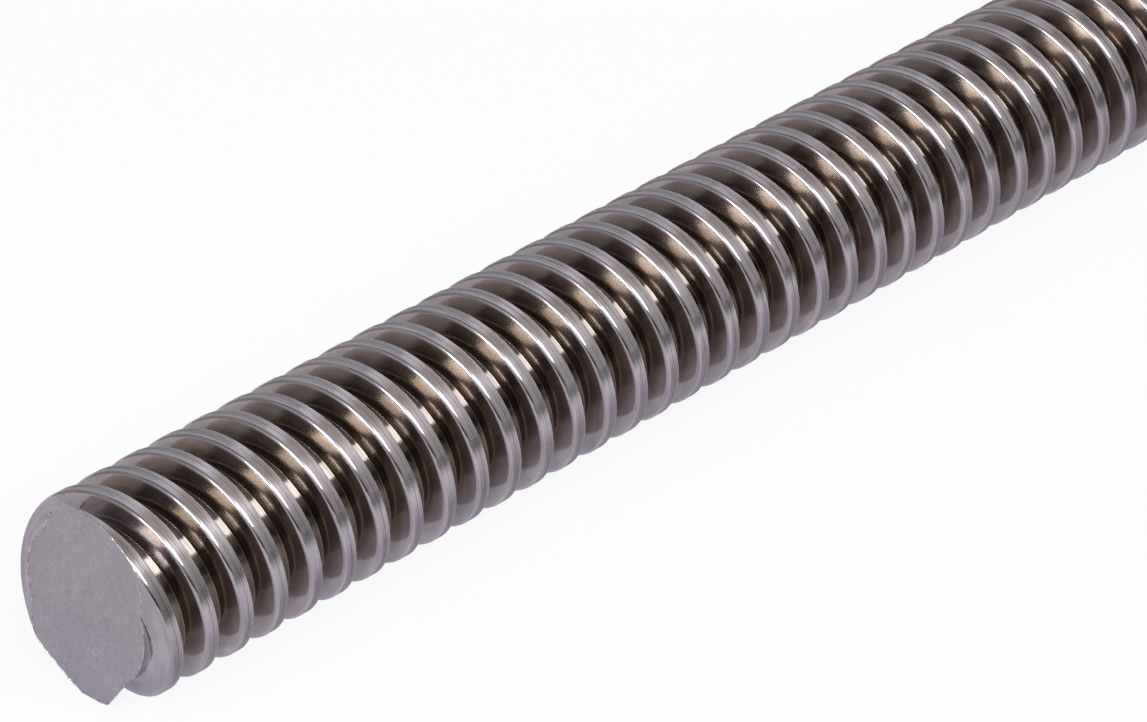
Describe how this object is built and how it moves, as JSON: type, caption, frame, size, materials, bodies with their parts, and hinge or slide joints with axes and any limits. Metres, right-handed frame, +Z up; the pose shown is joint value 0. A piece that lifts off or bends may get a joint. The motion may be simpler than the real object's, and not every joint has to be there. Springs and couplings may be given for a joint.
{
  "type": "trapezoidal lead screw",
  "caption": "Plain sawn length of bright rolled steel lead screw with a two-start right-hand trapezoidal thread along its whole length.",
  "frame": {"origin": "bottom centre of the screw's box, where it touches the surface it lies on", "axes": "+X along the screw's axis from the near sawn end to the far one, +Z up; the thread is right-hand about +X"},
  "size_m": [0.18, 0.024, 0.024],
  "materials": {
    "bright_steel": "rolled and bright, ends sawn"
  },
  "bodies": {
    "root": {"lead_screw": "bright_steel"}
  },
  "joints": []
}
